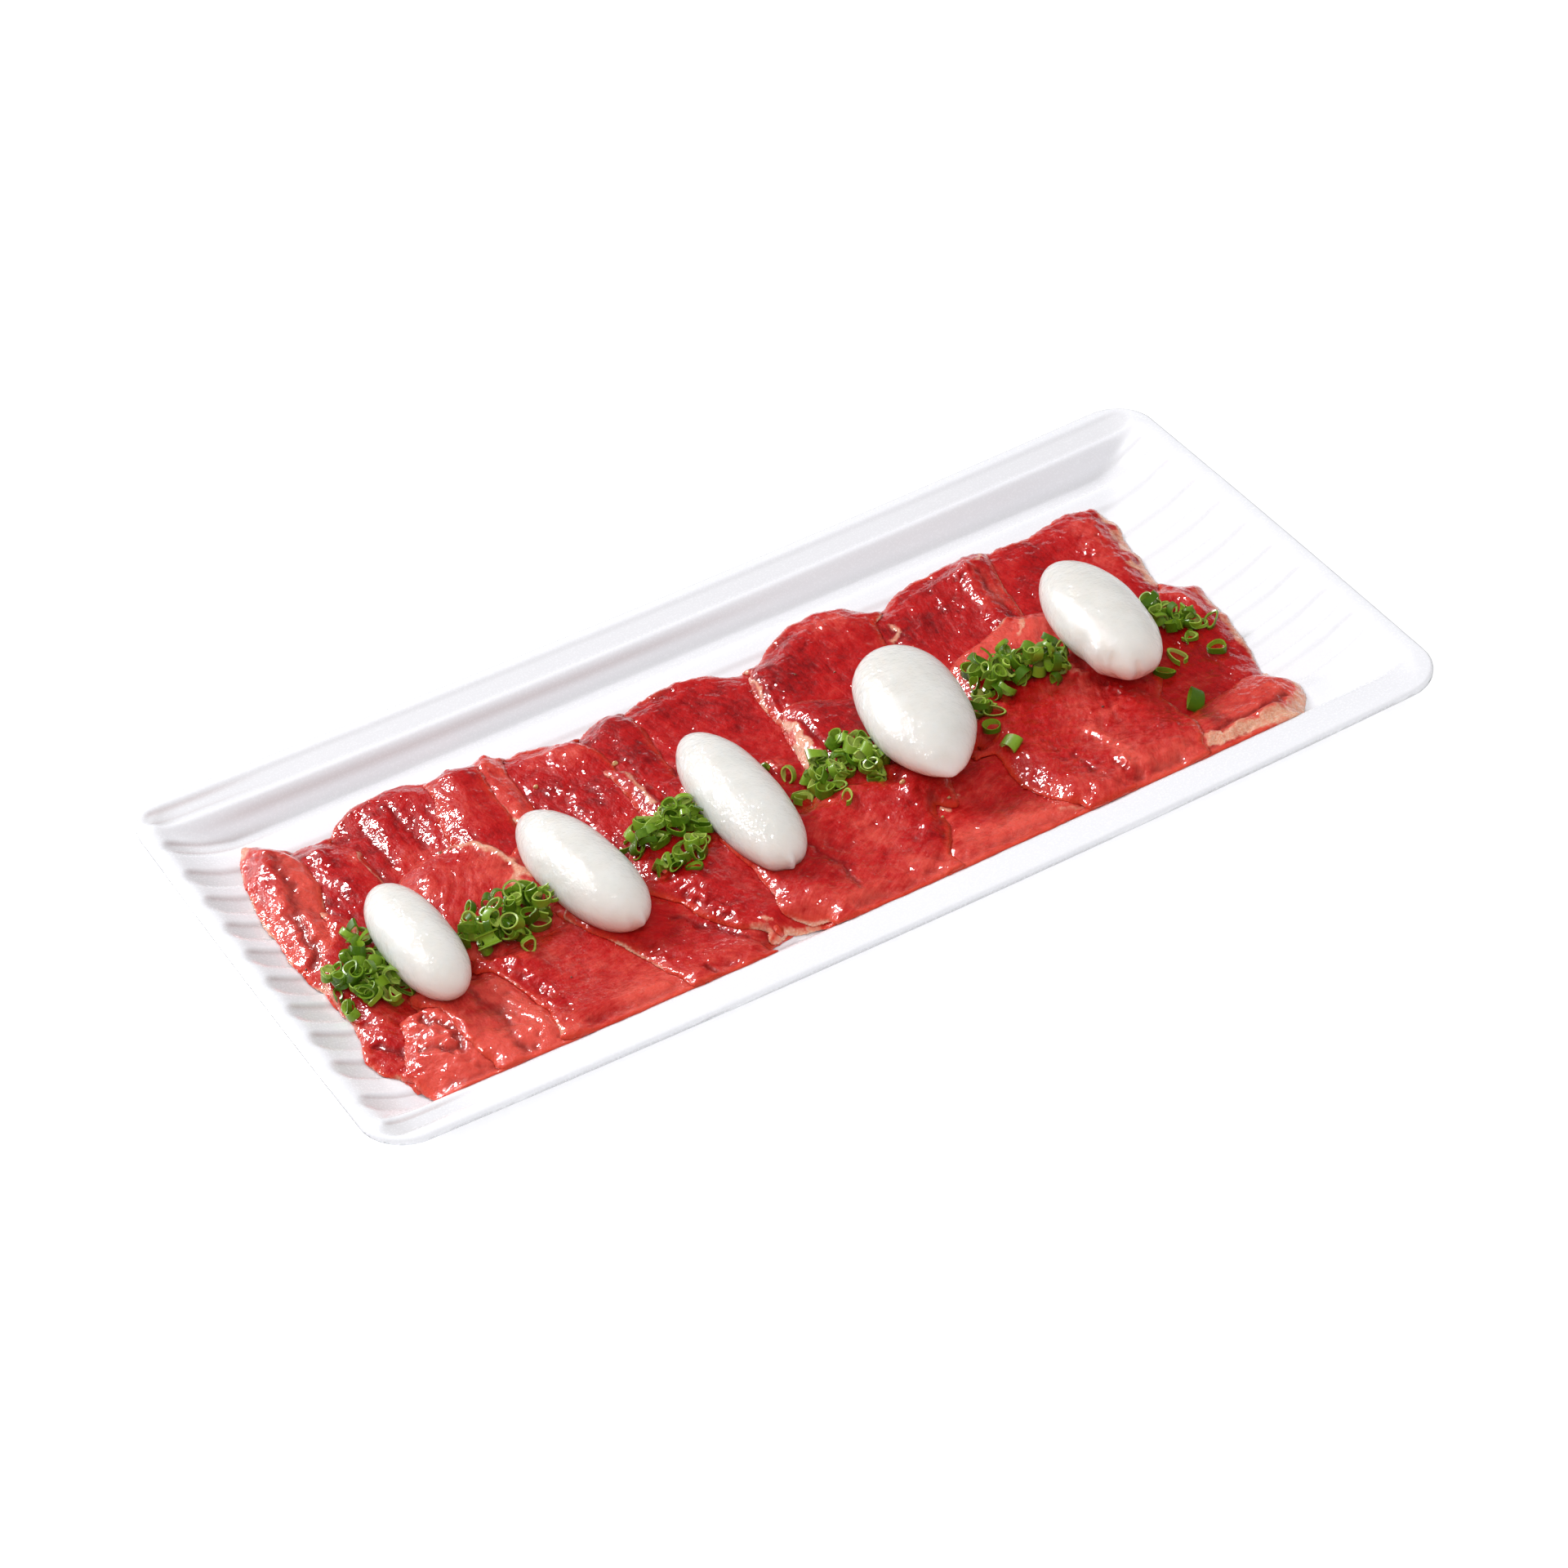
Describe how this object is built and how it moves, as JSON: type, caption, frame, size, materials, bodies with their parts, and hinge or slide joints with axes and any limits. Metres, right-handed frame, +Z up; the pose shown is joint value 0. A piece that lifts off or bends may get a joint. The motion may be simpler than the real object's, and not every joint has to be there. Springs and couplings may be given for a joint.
{
  "type": "plate of marinated raw beef neck slices",
  "caption": "Long ribbed white plate of overlapping marinated raw beef neck slices, with white ovals across them and heaps of chopped chives.",
  "frame": {"origin": "middle of the plate, at the level of its foot", "axes": "+X along the plate's length, +Y towards its back long side, +Z up"},
  "size_m": [0.3, 0.1466, 0.03],
  "materials": {
    "plate_glaze": "smooth white glaze",
    "raw_beef": "wet raw meat with pale fat",
    "white_oval": "wet, slightly translucent white",
    "chive": "satin green leaf"
  },
  "bodies": {
    "root": {"plate": "plate_glaze", "beef_slice_01_back_right_end": "raw_beef", "beef_slice_02_back_right": "raw_beef", "beef_slice_03_back_middle": "raw_beef", "beef_slice_04_back_middle_right": "raw_beef", "beef_slice_05_back_narrow": "raw_beef", "beef_slice_06_back_left_middle": "raw_beef", "beef_slice_07_back_fold": "raw_beef", "beef_slice_08_back_left": "raw_beef", "beef_slice_09_back_smooth": "raw_beef", "beef_slice_10_back_left_end": "raw_beef", "beef_slice_11_left_end_curl": "raw_beef", "beef_slice_12_left_middle": "raw_beef", "beef_slice_13_left_crumbly_fat": "raw_beef", "beef_slice_14_middle_white_fat": "raw_beef", "beef_slice_15_middle_fat_wedge": "raw_beef", "beef_slice_16_right_end": "raw_beef", "beef_slice_17_right_front_fold": "raw_beef", "beef_slice_18_left_front_end": "raw_beef", "beef_slice_19_left_front_arch": "raw_beef", "beef_slice_20_front_left": "raw_beef", "beef_slice_21_front_left_middle": "raw_beef", "beef_slice_22_front_middle_left": "raw_beef", "beef_slice_23_front_middle_right": "raw_beef", "beef_slice_24_front_middle": "raw_beef", "beef_slice_25_front_right": "raw_beef", "white_oval_1": "white_oval", "white_oval_2": "white_oval", "white_oval_3": "white_oval", "white_oval_4": "white_oval", "white_oval_5": "white_oval", "chive_heap_1": "chive", "chive_heap_2": "chive", "chive_heap_3": "chive", "chive_heap_4": "chive", "chive_heap_5": "chive", "chive_heap_6": "chive"}
  },
  "joints": []
}
